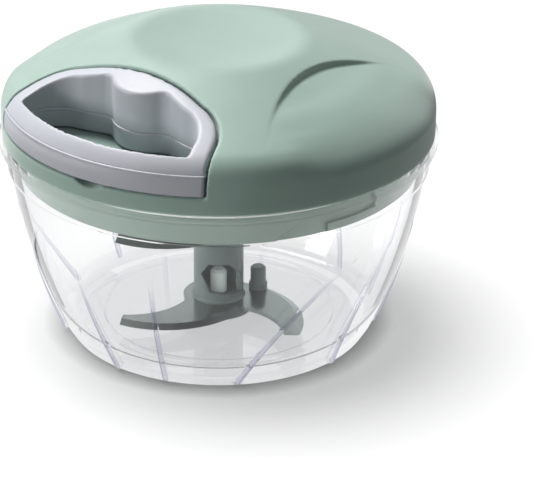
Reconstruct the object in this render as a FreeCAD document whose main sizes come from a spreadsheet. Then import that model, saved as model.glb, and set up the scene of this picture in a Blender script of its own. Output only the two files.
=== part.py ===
import FreeCAD, Part

# Pull-string food chopper: a clear bowl with a blade unit standing on its centre pin,
# under a round lid that holds a cord reel, its power spring and a one-way clutch.
# Millimetres. Z is up, the origin is the middle of the bowl's foot, and the handle
# leaves the lid towards -Y.

import math
import os

import Sketcher

doc = FreeCAD.newDocument("FoodChopper")

# Driving dimensions, one cell of the sheet each
SIZES = {
    # Clear bowl
    "rim_reach": 2.3,
    "rim_top": 62.9,
    "rim_thick": 2.0,
    "collar_drop": 9.4,
    "bowl_mouth_radius": 63.6,
    "bowl_base_radius": 48.1,
    "bowl_base_height": 3.0,
    "foot_inset": 1.9,
    "side_bulge": 175.0,
    "bowl_wall": 2.2,
    "floor_thick": 2.6,
    "floor_radius": 35.7,
    "floor_step": 0.6,
    "corner_height": 13.0,
    "corner_round": 12.5,
    "foot_width": 4.2,
    "foot_recess": 0.8,
    "pin_radius": 2.5,
    "pin_top": 15.8,
    "pin_root_radius": 4.4,
    "pin_root_height": 1.2,
    # Ribs on the outside of the bowl
    "rib_sets": 3.0,
    "rib_thick": 1.4,
    "rib_depth": 1.4,
    "rib_root": 0.9,
    "upright_angle": 21.2,
    "upright_top": 47.5,
    "short_angle": -1.5,
    "short_lean": 9.5,
    "short_top": 40.0,
    "sail_angle": 72.0,
    "sail_round": 62.8,
    "sail_centre": 40.1,
    "sail_drop": 12.7,
    "sail_top": 49.0,
    "mast_angle": 88.0,
    "mast_round": 51.9,
    "mast_centre": 48.2,
    "mast_rise": 6.3,
    "mast_top": 45.5,
    # Bayonet
    "lugs": 3.0,
    "lug_angle": 83.5,
    "lug_half_width": 4.2,
    "lug_half_height": 1.85,
    "lug_drop": 5.7,
    "lug_depth": 0.7,
    "lug_root": 0.4,
    "lock_turn": 20.0,
    # Lid cover
    "lid_inset": 0.9,
    "lid_gap": 0.3,
    "lid_wall": 2.2,
    "side_rise": 8.4,
    "shoulder_round": 9.6,
    "shoulder_slope": 22.0,
    "dome_round": 450.0,
    "crown_rise": 29.4,
    "dish_radius": 26.2,
    "dish_depth": 1.8,
    "dish_slope": 7.9,
    "crest_reach": 3.0,
    "crest_slope": 17.6,
    # Grip scoops on the lid
    "scoop_edge": 33.0,
    "scoop_round": 58.0,
    "scoop_shift": 4.0,
    "scoop_depth": 1.8,
    "scoop_start": 30.5,
    "scoop_margin": 3.7,
    "scoop_swell": 300.0,
    # Handle recess and ledge
    "ledge_rise": 5.8,
    "recess_gap": 0.8,
    "notch_shift": 5.8,
    "notch_depth": 1.5,
    "notch_round": 8.0,
    "notch_reach": 4.5,
    # Handle
    "handle_float": 0.3,
    "parting_rise": 6.0,
    "handle_depth": 33.1,
    "handle_corner_run": 12.2,
    "handle_back_drop": 3.0,
    "handle_corner_x": 35.2,
    "handle_corner_depth": 20.5,
    "handle_corner_round": 14.0,
    "handle_side_lean": 0.4,
    "handle_overrun": 5.0,
    "grip_front_wall": 4.8,
    "grip_front_x": 31.6,
    "grip_side_x": 29.8,
    "grip_side_depth": 19.4,
    "grip_corner_x": 19.5,
    "grip_corner_depth": 26.6,
    "grip_corner_round": 11.0,
    "grip_back_x": 13.5,
    "grip_back_depth": 28.2,
    "grip_neck_x": 8.6,
    "grip_neck_depth": 27.6,
    "grip_neck_round": 4.2,
    "bump_reach": 3.4,
    "handle_wall": 1.5,
    # Lid base with its plug
    "plug_gap": 1.3,
    "plug_drop": 10.6,
    "plug_wall": 2.0,
    "base_floor": 2.0,
    "base_gap": 0.3,
    "base_flange": 2.0,
    "boss_wall": 2.8,
    "boss_drop": 1.9,
    "base_ribs": 6.0,
    "base_rib_thick": 1.6,
    "base_rib_height": 3.0,
    "channel_depth": 1.2,
    "channel_height": 4.0,
    "channel_lap": 2.0,
    "mouth_angle": 15.0,
    "mouth_lean": 30.0,
    "groove_depth": 2.0,
    "groove_drop": 2.7,
    # Seal ring
    "seal_gap": 0.1,
    "seal_height": 2.6,
    "lip_height": 0.8,
    # Screws that join lid base and cover
    "screw_inset": 19.0,
    "screw_angle": 60.0,
    "screw_spread": 80.0,
    "screw_shank": 1.5,
    "screw_head": 2.9,
    "screw_head_height": 2.0,
    "screw_length": 16.0,
    "screw_boss": 4.2,
    "screw_sink": 3.2,
    # Reel, its axle and its power spring
    "axle_radius": 2.0,
    "axle_dip": 2.3,
    "axle_roof": 4.5,
    "running_gap": 0.1,
    "clip_radius": 3.7,
    "clip_height": 0.6,
    "clip_groove": 0.4,
    "clip_gap": 0.2,
    "reel_rise": 4.6,
    "reel_flange": 1.5,
    "reel_clearance": 1.1,
    "flange_depth": 7.0,
    "drum_height": 10.0,
    "drum_wall": 1.8,
    "drum_web": 3.0,
    "arbor_radius": 5.0,
    "spring_start": 5.5,
    "spring_turns": 7.0,
    "spring_clearance": 0.12,
    "spring_thick": 0.4,
    "spring_height": 6.6,
    "spring_lid_thick": 1.2,
    "spring_lid_sink": 0.3,
    # Clutch
    "ratchet_radius": 12.6,
    "ratchet_wall": 1.6,
    "ratchet_height": 3.8,
    "ratchet_teeth": 12.0,
    "tooth_depth": 1.3,
    "tooth_width": 2.0,
    "clutch_gap": 0.4,
    "clutch_float": 0.3,
    "clutch_thick": 2.0,
    "clutch_neck": 4.4,
    "pivot_radius": 1.2,
    "pivot_circle": 7.2,
    "pivot_height": 3.2,
    "pawl_thick": 2.2,
    "pawl_eye": 2.3,
    "pawl_length": 6.5,
    "pawl_tip_x": 2.9,
    "pawl_tip": 1.2,
    "pawl_float": 0.3,
    "pawl_turn": 12.5,
    # Drive spindle and the column it turns
    "barrel_radius": 6.7,
    "dog_core": 3.4,
    "dog_reach": 8.0,
    "dog_shoulder": 0.5,
    "dog_fin_reach": 5.2,
    "dog_fin_thick": 2.0,
    "column_radius": 7.7,
    "column_gap": 2.2,
    "socket_radius": 5.8,
    "socket_depth": 10.0,
    "socket_rib_reach": 1.9,
    "socket_rib_thick": 2.0,
    "foot_bore": 6.0,
    "foot_bore_top": 21.2,
    "foot_web_top": 8.6,
    "pin_gap": 0.1,
    "pin_rest_gap": 0.3,
    "window_low_left": -2.9,
    "window_low_right": 8.6,
    "window_bottom": 11.1,
    "window_fall": 1.9,
    "window_high_left": -5.3,
    "window_high_right": 6.4,
    "window_shoulder": 16.7,
    "window_top": 20.4,
    "window_top_half": 3.0,
    "window_angle": 40.0,
    # Blades
    "hub_radius": 10.5,
    "hub_bottom": 3.2,
    "hub_lip": 0.6,
    "hub_lip_height": 0.8,
    "blade_bottom": 6.2,
    "blade_thick": 1.1,
    "blade_bevel": 2.4,
    "blade_lead_round": 28.0,
    "blade_trail_round": 19.5,
    "blade_centre_x": 15.5,
    "blade_centre_y": 6.5,
    "blade_tip_x": 10.6,
    "blade_tip_y": 34.1,
    "blade_heel_x": 12.8,
    "blade_heel_y": 30.0,
    "blade_lead_x": 11.1,
    "blade_lead_y": 2.15,
    "blade_trail_x": 6.3,
    "blade_trail_y": 5.8,
    "blade_spread": 100.0,
    "blade_disc": 10.9,
    "upper_blade_bottom": 33.0,
    "upper_blade_turn": -3.0,
    "upper_collar_radius": 9.4,
    "upper_collar_height": 3.0,
    "blade_neck": 5.7,
    "post_circle": 13.0,
    "post_angle": 149.0,
    "post_radius": 2.4,
    "post_base_radius": 2.9,
    "post_base_top": 9.0,
    "post_top": 14.6,
    # Pull cord
    "cord_thick": 1.8,
    "cord_margin": 0.7,
    "cord_turns": 3.2,
    "cord_pitch": 2.2,
    "cord_bend_inset": 1.5,
    "cord_bend_round": 5.4,
    "eyelet_bore": 1.3,
    "eyelet_radius": 2.6,
    "eyelet_flange": 3.8,
    "eyelet_flange_thick": 0.8,
    "cord_stop_radius": 2.5,
    "cord_stop_length": 4.0,
}


class Size:
    """A dimension: its number now and the sheet expression that keeps it current."""

    def __init__(self, number, text):
        self.number = float(number)
        self.text = text

    def __add__(self, other):
        other = as_size(other)
        return Size(self.number + other.number, f"({self.text} + {other.text})")

    def __sub__(self, other):
        other = as_size(other)
        return Size(self.number - other.number, f"({self.text} - {other.text})")

    def __mul__(self, other):
        other = as_size(other)
        return Size(self.number * other.number, f"({self.text} * {other.text})")

    def __truediv__(self, other):
        other = as_size(other)
        return Size(self.number / other.number, f"({self.text} / {other.text})")

    def __radd__(self, other):
        return as_size(other) + self

    def __rsub__(self, other):
        return as_size(other) - self

    def __rmul__(self, other):
        return as_size(other) * self

    def __rtruediv__(self, other):
        return as_size(other) / self

    def __neg__(self):
        return as_size(0) - self

    def __float__(self):
        return self.number


def as_size(value):
    if isinstance(value, Size):
        return value
    return Size(value, f"({float(value)})")


def sine(angle):
    angle = as_size(angle)
    return Size(math.sin(math.radians(angle.number)), f"sin({angle.text})")


def cosine(angle):
    angle = as_size(angle)
    return Size(math.cos(math.radians(angle.number)), f"cos({angle.text})")


def root(value):
    value = as_size(value)
    return Size(math.sqrt(value.number), f"sqrt({value.text})")


class Sheet:
    """The spreadsheet of driving dimensions, read by name."""

    def __init__(self, sizes):
        self.page = doc.addObject("Spreadsheet::Sheet", "Sizes")
        for row, (alias, number) in enumerate(sizes.items(), start=1):
            self.page.set(f"A{row}", alias)
            self.page.set(f"B{row}", str(number))
            self.page.setAlias(f"B{row}", alias)
        doc.recompute()

    def __getattr__(self, alias):
        return Size(self.page.get(alias), f"Sizes.{alias}")


s = Sheet(SIZES)
parts = {}

# Radii that follow from the bowl's base
foot_radius = s.bowl_base_radius - s.foot_inset
foot_recess_radius = foot_radius - s.foot_width

# Radii that follow from the bowl's mouth
rim_radius = s.bowl_mouth_radius + s.rim_reach
lid_radius = rim_radius - s.lid_inset
mouth_radius = s.bowl_mouth_radius - s.bowl_wall
plug_radius = mouth_radius - s.plug_gap
base_flange_radius = lid_radius - s.lid_wall - s.base_gap
scoop_end = lid_radius - s.scoop_margin
screw_circle = lid_radius - s.screw_inset
handle_back = lid_radius - s.handle_depth
handle_back_half = s.handle_corner_x - s.handle_corner_run
handle_corner_y = lid_radius - s.handle_corner_depth
handle_front = lid_radius + s.handle_overrun
grip_front_radius = lid_radius - s.grip_front_wall
grip_side_y = lid_radius - s.grip_side_depth
grip_corner_y = lid_radius - s.grip_corner_depth
grip_back_y = lid_radius - s.grip_back_depth
grip_neck_y = lid_radius - s.grip_neck_depth
eyelet_out = handle_back - s.recess_gap
reel_flange_radius = eyelet_out - s.lid_wall - s.eyelet_flange_thick - s.reel_clearance
drum_radius = reel_flange_radius - s.flange_depth
clutch_radius = s.ratchet_radius - s.tooth_depth - s.clutch_gap
cord_bend_y = reel_flange_radius - s.cord_bend_inset

# Heights that follow from the bowl's rim
side_top = s.rim_top + s.side_rise
crown_height = s.rim_top + s.crown_rise
ledge_height = s.rim_top + s.ledge_rise
handle_bottom = ledge_height + s.handle_float
handle_parting = handle_bottom + s.parting_rise
plug_bottom = s.rim_top - s.plug_drop
groove_bottom = s.rim_top - s.groove_drop
lug_height = s.rim_top - s.lug_drop
collar_bottom = s.rim_top - s.collar_drop
boss_top = s.rim_top - s.boss_drop
clutch_bottom = boss_top + s.clutch_float
reel_bottom = s.rim_top + s.reel_rise
clutch_neck_top = reel_bottom - s.clip_height - s.clip_gap - s.clutch_float
axle_bottom = clutch_bottom - s.axle_dip
axle_top = crown_height - s.dish_depth - s.axle_roof
column_top = plug_bottom - s.column_gap
dog_top = plug_bottom - s.dog_shoulder
dog_bottom = column_top - s.dog_reach
cord_height = reel_bottom + s.reel_flange + s.drum_height - s.cord_thick / 2 - s.cord_margin


def bind(thing, name, value):
    """Give a property its value, tied to the sheet where a dimension drives it."""
    value = as_size(value)
    if "Sizes." in value.text:
        thing.setExpression(name, value.text)
    elif "." in name:
        head, tail = name.rsplit(".", 1)
        thing.setExpression(f"{head}.{tail}", value.text)
    else:
        setattr(thing, name, value.number)


def place(thing, at=(0, 0, 0), turn=0, axis=(0, 0, 1)):
    """Put a solid at a point, turned about an axis through that point."""
    thing.Placement = FreeCAD.Placement(
        FreeCAD.Vector(*(float(v) for v in at)),
        FreeCAD.Rotation(FreeCAD.Vector(*axis), float(turn)),
    )
    for name, value in zip("xyz", at):
        if isinstance(value, Size):
            thing.setExpression(f"Placement.Base.{name}", value.text)
    if isinstance(turn, Size):
        thing.setExpression("Placement.Rotation.Angle", turn.text)
    return thing


def draw(sketch, steps):
    """Closed outline. A step is (x, y) for a straight run to that point, or
    (x, y, radius, side) for an arc that turns to that side on the way there."""
    count = len(steps)
    ends = [(as_size(step[0]), as_size(step[1])) for step in steps]
    lines = []
    for index, step in enumerate(steps):
        start = FreeCAD.Vector(*(float(v) for v in ends[index - 1]), 0)
        end = FreeCAD.Vector(*(float(v) for v in ends[index]), 0)
        if len(step) == 2:
            lines.append(Part.LineSegment(start, end))
            continue
        radius, side = float(step[2]), step[3]
        run = end - start
        across = FreeCAD.Vector(-run.y, run.x, 0).normalize()
        rise = math.sqrt(max(radius * radius - run.Length * run.Length / 4, 0))
        sign = 1 if side == "left" else -1
        centre = (start + end) * 0.5 + across * (rise * sign)
        first, last = (start, end) if side == "left" else (end, start)
        angles = [math.atan2(p.y - centre.y, p.x - centre.x) for p in (first, last)]
        circle = Part.Circle(centre, FreeCAD.Vector(0, 0, 1), radius)
        lines.append(Part.ArcOfCircle(circle, angles[0], angles[1]))
    sketch.addGeometry(lines, False)

    def tip(index, last):
        turned = len(steps[index]) == 4 and steps[index][3] == "right"
        return 2 if last != turned else 1

    rules = []
    sizes = []
    for index, step in enumerate(steps):
        after = (index + 1) % count
        rules.append(Sketcher.Constraint("Coincident", index, tip(index, True),
                                         after, tip(after, False)))
        sizes.append(None)
        for kind, value, axis in zip(("DistanceX", "DistanceY"), ends[index], (-2, -1)):
            if value.number == 0 and "Sizes." not in value.text:
                rules.append(Sketcher.Constraint("PointOnObject", index, tip(index, True), axis))
                sizes.append(None)
            else:
                rules.append(Sketcher.Constraint(kind, -1, 1, index, tip(index, True), value.number))
                sizes.append(value)
        if len(step) == 4:
            rules.append(Sketcher.Constraint("Radius", index, float(step[2])))
            sizes.append(as_size(step[2]))
    sketch.addConstraint(rules)
    for index, value in enumerate(sizes):
        if value is not None and "Sizes." in value.text:
            sketch.setExpression(f"Constraints[{index}]", value.text)
    return sketch


def flat_sketch(name, steps):
    """An outline seen from above, on the ground plane."""
    return draw(doc.addObject("Sketcher::SketchObject", name), steps)


def new_body(name):
    return doc.addObject("PartDesign::Body", name)


def plane_of(body, role):
    return next(item for item in body.Origin.OriginFeatures if item.Role == role)


def sketch_in(body, name, steps, plane="XZ_Plane", lift=None):
    """An outline on one of the body's own planes, moved along its normal by lift."""
    sketch = body.newObject("Sketcher::SketchObject", name)
    sketch.AttachmentSupport = [(plane_of(body, plane), "")]
    sketch.MapMode = "FlatFace"
    if lift is not None:
        bind(sketch, "AttachmentOffset.Base.z", lift)
    return draw(sketch, steps)


def revolve(body, name, steps, kind="PartDesign::Revolution"):
    """Turn a radius and height outline about the vertical axis."""
    sketch = sketch_in(body, name + "_outline", steps)
    feature = body.newObject(kind, name)
    feature.Profile = sketch
    feature.ReferenceAxis = (sketch, ["V_Axis"])
    feature.Angle = 360
    return feature


def extrude(body, name, steps, bottom, height, kind="PartDesign::Pad"):
    """Raise or cut an outline seen from above, from bottom upwards."""
    sketch = sketch_in(body, name + "_outline", steps, "XY_Plane", bottom)
    feature = body.newObject(kind, name)
    feature.Profile = sketch
    bind(feature, "Length", height)
    feature.Reversed = kind == "PartDesign::Pocket"
    return feature


def polar(body, feature, count):
    """Repeat a feature evenly about the vertical axis."""
    pattern = body.newObject("PartDesign::PolarPattern", feature.Name + "_pattern")
    pattern.Originals = [feature]
    pattern.Axis = (feature.Profile[0], ["N_Axis"])
    pattern.Angle = 360
    if isinstance(count, Size):
        bind(pattern, "Occurrences", count)
    else:
        pattern.Occurrences = count
    body.Tip = pattern
    return pattern


def cylinder(name, radius, height, at=(0, 0, 0), turn=0, axis=(0, 0, 1)):
    solid = doc.addObject("Part::Cylinder", name)
    bind(solid, "Radius", radius)
    bind(solid, "Height", height)
    return place(solid, at, turn, axis)


def block(name, length, width, height, at=(0, 0, 0)):
    solid = doc.addObject("Part::Box", name)
    bind(solid, "Length", length)
    bind(solid, "Width", width)
    bind(solid, "Height", height)
    return place(solid, at)


def cut(name, base, tool):
    solid = doc.addObject("Part::Cut", name)
    solid.Base = base
    solid.Tool = tool
    return solid


def common(name, base, tool):
    solid = doc.addObject("Part::Common", name)
    solid.Base = base
    solid.Tool = tool
    return solid


def fuse(name, solids, tidy=True):
    """One solid of several; tidy merges the faces that run on into each other."""
    solid = doc.addObject("Part::MultiFuse", name)
    solid.Shapes = solids
    solid.Refine = tidy
    return solid


def raised(name, outline, bottom, height):
    """A standing solid on an outline seen from above."""
    solid = doc.addObject("Part::Extrusion", name)
    solid.Base = outline
    solid.DirMode = "Custom"
    solid.Dir = FreeCAD.Vector(0, 0, 1)
    solid.Solid = True
    bind(solid, "LengthFwd", height)
    return place(solid, (0, 0, bottom))


def wider(name, outline, by):
    """An outline moved outwards, or inwards where the size is negative."""
    offset = doc.addObject("Part::Offset2D", name)
    offset.Source = outline
    bind(offset, "Value", by)
    return offset


def turned(name, source, count, first=0):
    """Copies of a solid set evenly round the vertical axis, as one shape."""
    ring = []
    for number in range(int(float(count))):
        copy = doc.addObject("Part::Compound", f"{name}_{number + 1}")
        copy.Links = [source]
        ring.append(place(copy, turn=as_size(first) + as_size(360 * number) / count))
    return ring


def keep(node, solid):
    """Enter a finished sub-part under the name of its node."""
    solid.Label = node
    parts[node] = solid
    return solid


# Bowl

def bowl_side(height):
    """Outside radius of the bowl at a height, on the arc of its side."""
    run = s.bowl_mouth_radius - s.bowl_base_radius
    rise = s.rim_top - s.rim_thick - s.bowl_base_height
    lift = root(s.side_bulge * s.side_bulge / (run * run + rise * rise) - 0.25)
    centre_r = (s.bowl_mouth_radius + s.bowl_base_radius) / 2 - rise * lift
    centre_z = s.bowl_base_height + rise / 2 + run * lift
    up = height - centre_z
    return centre_r + root(s.side_bulge * s.side_bulge - up * up)


def bowl_shell():
    body = new_body("BowlShell")
    under_rim = s.rim_top - s.rim_thick
    pin_edge = 0.8
    revolve(body, "BowlTurn", [
        (0, s.foot_recess),
        (foot_recess_radius, s.foot_recess),
        (foot_recess_radius, 0),
        (foot_radius, 0),
        (s.bowl_base_radius, s.bowl_base_height),
        (bowl_side(collar_bottom), collar_bottom, s.side_bulge, "left"),
        (s.bowl_mouth_radius, collar_bottom),
        (s.bowl_mouth_radius, under_rim),
        (rim_radius, under_rim),
        (rim_radius, s.rim_top),
        (mouth_radius, s.rim_top),
        (mouth_radius, under_rim),
        (bowl_side(s.corner_height) - s.bowl_wall, s.corner_height, s.side_bulge - s.bowl_wall, "right"),
        (s.floor_radius, s.floor_thick + s.floor_step, s.corner_round, "right"),
        (s.floor_radius, s.floor_thick),
        (s.pin_root_radius, s.floor_thick),
        (s.pin_root_radius, s.floor_thick + s.pin_root_height),
        (s.pin_radius, s.floor_thick + s.pin_root_height),
        (s.pin_radius, s.pin_top - pin_edge),
        (s.pin_radius - pin_edge, s.pin_top),
        (0, s.pin_top),
    ])
    return body


def rib_zone(name, top):
    """Skin outside the bowl's wall, thick at the foot and gone at its top."""
    body = new_body(name)
    foot = s.bowl_base_height
    revolve(body, name + "Turn", [
        (s.bowl_base_radius - s.rib_root, foot / 2),
        (s.bowl_base_radius + s.rib_depth / 2, foot / 2),
        (s.bowl_base_radius + s.rib_depth, foot),
        (bowl_side(top), top, s.side_bulge, "left"),
        (bowl_side(top) - s.rib_root, top),
        (s.bowl_base_radius - s.rib_root, foot, s.side_bulge, "right"),
    ])
    return body


def curved_rib(name, top, radius, across, height):
    """A rib along a circle seen from the side, here on the +X side of the bowl."""
    reach = rim_radius
    half = s.rib_thick / 2
    centre = (0, across, height)
    pipe = cut(name + "Hoop",
               cylinder(name + "Outer", radius + half, reach, centre, 90, (0, 1, 0)),
               cylinder(name + "Inner", radius - half, reach, centre, 90, (0, 1, 0)))
    side = block(name + "Side", reach, reach, top, (0, across - reach, 0))
    return common(name, common(name + "Half", pipe, side), rib_zone(name + "Zone", top))


def straight_rib(name, top, lean):
    """A flat rib that leans sideways, here on the +X side of the bowl."""
    reach = rim_radius
    half = s.rib_thick / 2
    slab = block(name + "Slab", reach, s.rib_thick, top * 1.2,
                 (0, (top / 2) * sine(lean) - half * cosine(lean), -half * sine(lean)))
    place(slab, (0, (top / 2) * sine(lean) - half * cosine(lean), -half * sine(lean)), lean, (1, 0, 0))
    return common(name, slab, rib_zone(name + "Zone", top))


def make_bowl():
    ribs = []
    quarter = 90
    for rib, angle in (
        (curved_rib("SailRib", s.sail_top, s.sail_round, s.sail_centre, -s.sail_drop), s.sail_angle),
        (curved_rib("MastRib", s.mast_top, s.mast_round, s.mast_centre, s.mast_rise), s.mast_angle),
        (straight_rib("UprightRib", s.upright_top, as_size(0)), s.upright_angle),
        (straight_rib("ShortRib", s.short_top, s.short_lean), s.short_angle),
    ):
        ribs += turned(rib.Name + "Copy", rib, s.rib_sets, angle - quarter)
    lug = doc.addObject("Part::Ellipsoid", "Lug")
    bind(lug, "Radius1", s.lug_half_height)
    bind(lug, "Radius2", s.lug_depth + s.lug_root)
    bind(lug, "Radius3", s.lug_half_width)
    place(lug, (mouth_radius + s.lug_root, 0, lug_height))
    lugs = turned("LugCopy", lug, s.lugs, s.lug_angle - quarter)
    keep("bowl", fuse("Bowl", [bowl_shell()] + ribs + lugs))


make_bowl()


# Blade unit

blade_top = s.blade_bottom + s.blade_thick


def post(name, angle):
    """Moulded peg that pins the lower blade to the hub."""
    body = new_body(name)
    edge = 0.6
    revolve(body, name + "Turn", [
        (0, s.hub_bottom + edge),
        (s.post_base_radius, s.hub_bottom + edge),
        (s.post_base_radius, s.post_base_top),
        (s.post_radius, s.post_base_top + edge),
        (s.post_radius, s.post_top - edge),
        (s.post_radius - edge, s.post_top),
        (0, s.post_top),
    ])
    return place(body, (s.post_circle * sine(angle), -s.post_circle * cosine(angle), 0))


def make_blade_unit():
    collar_low = s.upper_blade_bottom - s.upper_collar_height
    collar_mid = s.upper_blade_bottom + s.blade_thick
    collar_high = collar_mid + s.upper_collar_height
    socket_floor = column_top - s.socket_depth
    pin_bore = s.pin_radius + s.pin_gap
    web_bottom = s.floor_thick + s.pin_root_height + s.pin_rest_gap
    quarter = 90
    body = new_body("ColumnCore")
    revolve(body, "ColumnTurn", [
        (s.foot_bore, s.hub_bottom),
        (s.hub_radius, s.hub_bottom),
        (s.hub_radius, s.blade_bottom),
        (s.column_radius, s.blade_bottom),
        (s.column_radius, blade_top),
        (s.column_radius + s.hub_lip, blade_top),
        (s.column_radius, blade_top + s.hub_lip_height),
        (s.column_radius, collar_low - s.hub_lip),
        (s.upper_collar_radius, collar_low),
        (s.upper_collar_radius, s.upper_blade_bottom),
        (s.blade_neck, s.upper_blade_bottom),
        (s.blade_neck, collar_mid),
        (s.upper_collar_radius, collar_mid),
        (s.column_radius, collar_high),
        (s.column_radius, column_top),
        (s.socket_radius, column_top),
        (s.socket_radius, socket_floor),
        (0, socket_floor),
        (0, s.foot_bore_top),
        (s.foot_bore, s.foot_bore_top),
        (s.foot_bore, s.foot_web_top),
        (pin_bore, s.foot_web_top),
        (pin_bore, web_bottom),
        (s.foot_bore, web_bottom),
    ])
    outline = flat_sketch("WindowOutline", [
        (s.window_low_left, s.window_bottom),
        (s.window_low_right, s.window_bottom - s.window_fall),
        (s.window_high_right, s.window_shoulder),
        (s.window_top_half, s.window_top),
        (-s.window_top_half, s.window_top),
        (s.window_high_left, s.window_shoulder),
    ])
    window = raised("Window", outline, 0, s.column_radius)
    place(window, (s.foot_bore / 2, 0, 0), 120, (1, 1, 1))
    tab_start = (s.hub_radius + s.foot_bore) / 2
    tab = block("PostTab", s.post_circle - tab_start, s.post_base_radius * 2, s.blade_bottom - s.hub_bottom,
                (tab_start, -s.post_base_radius, s.hub_bottom))
    foot = fuse("ColumnFoot", [body] + turned("PostTabCopy", tab, 1, s.post_angle - quarter), tidy=False)
    open_core = cut("ColumnOpen", foot, turned("WindowCopy", window, 1, s.window_angle - quarter)[0])
    rib = block("SocketRib", s.socket_rib_reach + 0.5, s.socket_rib_thick, s.socket_depth,
                (s.socket_radius - s.socket_rib_reach, -s.socket_rib_thick / 2, socket_floor))
    peg = post("SidePost", s.post_angle)
    keep("blade_column", fuse("Column", [open_core] + turned("SocketRibCopy", rib, 2) + [peg], tidy=False))

    arm_sketch = flat_sketch("ArmOutline", [
        (-s.blade_trail_x, -s.blade_trail_y),
        (-s.blade_heel_x, -s.blade_heel_y, s.blade_trail_round, "right"),
        (-s.blade_tip_x, -s.blade_tip_y),
        (s.blade_lead_x, s.blade_lead_y, s.blade_lead_round, "left"),
    ])

    def arm(name, bottom, turn):
        flat = raised(name + "Flat", arm_sketch, bottom, s.blade_thick)
        bevel = doc.addObject("Part::Cone", name + "Bevel")
        bind(bevel, "Radius1", s.blade_lead_round)
        bind(bevel, "Radius2", s.blade_lead_round - s.blade_bevel)
        bind(bevel, "Height", s.blade_thick)
        place(bevel, (-s.blade_centre_x, -s.blade_centre_y, bottom))
        edge = common(name + "Edge", flat, bevel)
        copy = doc.addObject("Part::Compound", name)
        copy.Links = [edge]
        return place(copy, turn=turn)

    plate = fuse("LowerPlate", [
        arm("FrontArm", s.blade_bottom, 0),
        arm("SideArm", s.blade_bottom, s.blade_spread),
        cylinder("LowerDisc", s.blade_disc, s.blade_thick, (0, 0, s.blade_bottom)),
    ])
    hole = cylinder("LowerHole", s.column_radius, s.blade_thick, (0, 0, s.blade_bottom))
    peg_hole = cylinder("SidePegHole", s.post_base_radius, s.blade_thick, (0, -s.post_circle, s.blade_bottom))
    peg_hole = turned("SidePegHoleCopy", peg_hole, 1, s.post_angle)[0]
    keep("lower_blade", cut("LowerBlade", plate, fuse("LowerHoles", [hole, peg_hole])))
    top_plate = fuse("UpperPlate", [
        arm("UpperArm", s.upper_blade_bottom, s.upper_blade_turn),
        cylinder("UpperDisc", s.column_radius, s.blade_thick, (0, 0, s.upper_blade_bottom)),
    ])
    neck = cylinder("UpperHole", s.blade_neck, s.blade_thick, (0, 0, s.upper_blade_bottom))
    keep("upper_blade", cut("UpperBlade", top_plate, neck))


make_blade_unit()


# Lid cover

shoulder_r = lid_radius - s.shoulder_round
skirt_bottom = s.rim_top + s.lid_gap


def dome(name, inset):
    """Solid of the lid's outer form, or of the same form set in by a wall."""
    body = new_body(name)
    radius = s.shoulder_round - inset
    top = crown_height - inset
    edge_r = s.dish_radius - s.crest_reach * cosine(s.dish_slope)
    edge_rise = s.dish_depth - s.crest_reach * sine(s.dish_slope)
    half = (s.crest_slope + s.dish_slope) / 2
    crest_round = s.crest_reach * cosine(half) / sine(half)
    revolve(body, name + "Turn", [
        (0, skirt_bottom),
        (lid_radius - inset, skirt_bottom),
        (lid_radius - inset, side_top),
        (shoulder_r + radius * sine(s.shoulder_slope),
         side_top + radius * cosine(s.shoulder_slope), radius, "left"),
        (s.dish_radius + s.crest_reach * cosine(s.crest_slope), top - s.crest_reach * sine(s.crest_slope),
         s.dome_round - inset, "left"),
        (edge_r, top - s.crest_reach * sine(s.dish_slope), crest_round, "left"),
        (0, top - s.dish_depth, edge_r * edge_r / (2 * edge_rise) + edge_rise / 2, "right"),
    ])
    return body


def scoop_band(name, drop, top):
    """Ring between a line sunk into the dome and a height above the lid."""
    body = new_body(name)
    fall = scoop_end - shoulder_r
    rim_z = side_top + root(s.shoulder_round * s.shoulder_round - fall * fall)
    start_z = crown_height - (s.scoop_start - s.dish_radius) * sine(s.shoulder_slope) - s.scoop_depth
    revolve(body, name + "Turn", [
        (s.scoop_start - s.dish_radius / 2, start_z - drop + s.scoop_depth),
        (s.scoop_start, start_z - drop),
        (scoop_end, rim_z - drop, s.scoop_swell, "right"),
        (scoop_end, top),
        (s.scoop_start - s.dish_radius / 2, top),
    ])
    return body


def handle_outline():
    lean_x = s.handle_corner_x + (handle_front - handle_corner_y) * s.handle_side_lean
    shoulder_y = -(handle_back + s.handle_back_drop)
    back_round = (handle_back_half * handle_back_half + s.handle_back_drop * s.handle_back_drop) \
        / (2 * s.handle_back_drop)
    return flat_sketch("HandleOutline", [
        (lean_x, -handle_front),
        (s.handle_corner_x, -handle_corner_y),
        (handle_back_half, shoulder_y, s.handle_corner_round, "left"),
        (-handle_back_half, shoulder_y, back_round, "left"),
        (-s.handle_corner_x, -handle_corner_y, s.handle_corner_round, "left"),
        (-lean_x, -handle_front),
    ])


handle_plan = handle_outline()
above = crown_height + 5
arbor_bottom = reel_bottom + s.drum_web + 0.5
screw_places = [s.screw_angle, s.screw_angle + s.screw_spread,
                360 - s.screw_angle - s.screw_spread, 360 - s.screw_angle]


def spot(circle, angle, height):
    """A point at an angle counted from the handle side, towards +X."""
    return (circle * sine(angle), -circle * cosine(angle), height)


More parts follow.
